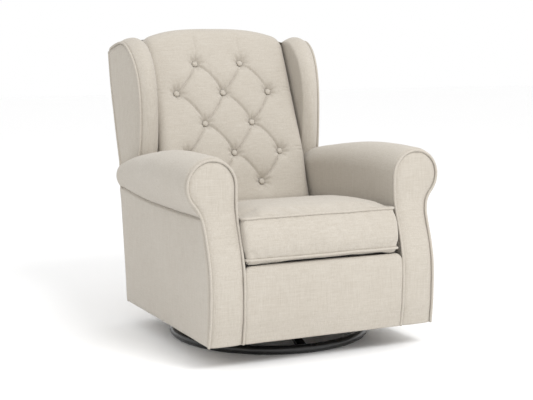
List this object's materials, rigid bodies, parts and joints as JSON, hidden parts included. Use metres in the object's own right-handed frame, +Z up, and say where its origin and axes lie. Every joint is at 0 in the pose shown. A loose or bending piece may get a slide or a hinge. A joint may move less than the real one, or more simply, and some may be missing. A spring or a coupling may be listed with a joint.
{
  "type": "glider nursery chair",
  "caption": "Upholstered swivel glider with a tufted wing back, rolled arms and a loose boxed seat cushion, hung on a link glide over a round black ring base.",
  "frame": {"origin": "on the floor, under the middle of the chair's outline", "axes": "+Z up, the chair faces -Y, +X to the right of a viewer who faces the chair's front"},
  "size_m": [0.8306, 0.912, 0.961],
  "materials": {
    "linen": "slubby plain weave, matt, light oatmeal",
    "black_steel": "satin black powder coat",
    "plain_steel": "zinc plated",
    "frame_wood": "sawn and sanded, unvarnished",
    "deck_cloth": "plain dark lining cloth"
  },
  "bodies": {
    "base": {"base_ring": "black_steel", "base_arm_1": "black_steel", "base_arm_2": "black_steel", "base_arm_3": "black_steel", "base_arm_4": "black_steel", "base_hub": "black_steel", "lower_bearing_race": "plain_steel", "bearing_ball_ring": "plain_steel", "king_bolt": "plain_steel", "king_nut": "plain_steel"},
    "swivel": {"upper_bearing_race": "plain_steel", "swivel_plate": "black_steel", "swivel_tower_left": "black_steel", "swivel_tower_right": "black_steel", "front_upper_pin_left": "plain_steel", "front_upper_pin_right": "plain_steel", "rear_upper_pin_left": "plain_steel", "rear_upper_pin_right": "plain_steel"},
    "front_links": {"front_link_left": "black_steel", "front_link_right": "black_steel"},
    "rear_links": {"rear_link_left": "black_steel", "rear_link_right": "black_steel"},
    "chair": {"carriage_rail_left": "black_steel", "carriage_rail_right": "black_steel", "carriage_front_bar": "black_steel", "carriage_rear_bar": "black_steel", "front_lower_pin_left": "plain_steel", "front_lower_pin_right": "plain_steel", "rear_lower_pin_left": "plain_steel", "rear_lower_pin_right": "plain_steel", "front_rail": "frame_wood", "rear_rail": "frame_wood", "side_rail_left": "frame_wood", "side_rail_right": "frame_wood", "back_post_left": "frame_wood", "back_post_right": "frame_wood", "back_top_rail": "frame_wood", "seat_deck": "deck_cloth", "arm_left": "linen", "arm_right": "linen", "arm_front_left": "linen", "arm_front_right": "linen", "wing_left": "linen", "wing_right": "linen", "tufted_back": "linen", "outside_back": "linen", "apron": "linen", "button_1": "linen", "button_2": "linen", "button_3": "linen", "button_4": "linen", "button_5": "linen", "button_6": "linen", "button_7": "linen", "button_8": "linen", "button_9": "linen", "button_10": "linen", "button_11": "linen", "button_12": "linen"},
    "cushion": {"seat_cushion": "linen"}
  },
  "joints": [
    {"name": "swivel_turn", "type": "hinge", "parent": "base", "child": "swivel", "pos_m": [0, -0.048, 0.095], "axis": [0, 0, 1], "continuous": true},
    {"name": "glide", "type": "hinge", "parent": "swivel", "child": "front_links", "pos_m": [0, -0.143, 0.235], "axis": [1, 0, 0], "range_deg": [-20, 20]},
    {"name": "rear_link_swing", "type": "hinge", "parent": "swivel", "child": "rear_links", "pos_m": [0, 0.047, 0.235], "axis": [1, 0, 0], "range_deg": [-20, 20]},
    {"name": "carriage_level", "type": "hinge", "parent": "front_links", "child": "chair", "pos_m": [0, -0.143, 0.115], "axis": [1, 0, 0], "range_deg": [-20, 20]},
    {"name": "cushion_lift", "type": "slide", "parent": "chair", "child": "cushion", "axis": [0, 0, 1], "range_m": [0, 0.2]}
  ],
  "couplings": [
    {"joint": "rear_link_swing", "follows": "glide", "ratio": 1},
    {"joint": "carriage_level", "follows": "glide", "ratio": -1}
  ]
}
